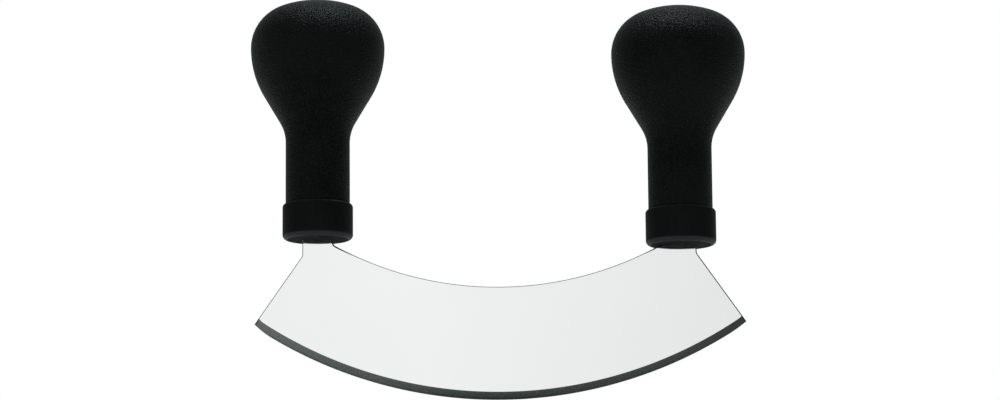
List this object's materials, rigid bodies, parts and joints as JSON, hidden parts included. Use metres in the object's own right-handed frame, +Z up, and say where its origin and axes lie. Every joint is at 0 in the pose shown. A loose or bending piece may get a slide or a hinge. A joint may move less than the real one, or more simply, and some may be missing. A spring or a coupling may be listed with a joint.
{
  "type": "mezzaluna",
  "caption": "Mezzaluna, a rocking knife for mincing herbs: a steel arc with a ground convex edge, a concave spine and an upright bulb handle with a collar on a tang at each end.",
  "frame": {"origin": "lowest point of the curved cutting edge, in the middle of the blade's length and thickness", "axes": "+X along the blade from the left tip to the right tip as pictured, +Y through the blade's thickness away from the viewer, +Z up from the cutting edge to the handles"},
  "size_m": [0.2026, 0.0548, 0.165],
  "materials": {
    "blade_steel": "finely polished stainless steel, ground darker and brighter along the bevel of the edge",
    "grip_plastic": "black polypropylene with a fine pebbled moulding grain",
    "collar_plastic": "black polypropylene, smoother satin than the grip",
    "core_plastic": "dark unfinished moulding, hidden inside the handle"
  },
  "bodies": {
    "root": {"blade": "blade_steel", "left_core": "core_plastic", "left_grip": "grip_plastic", "left_collar": "collar_plastic", "right_core": "core_plastic", "right_grip": "grip_plastic", "right_collar": "collar_plastic"}
  },
  "joints": []
}
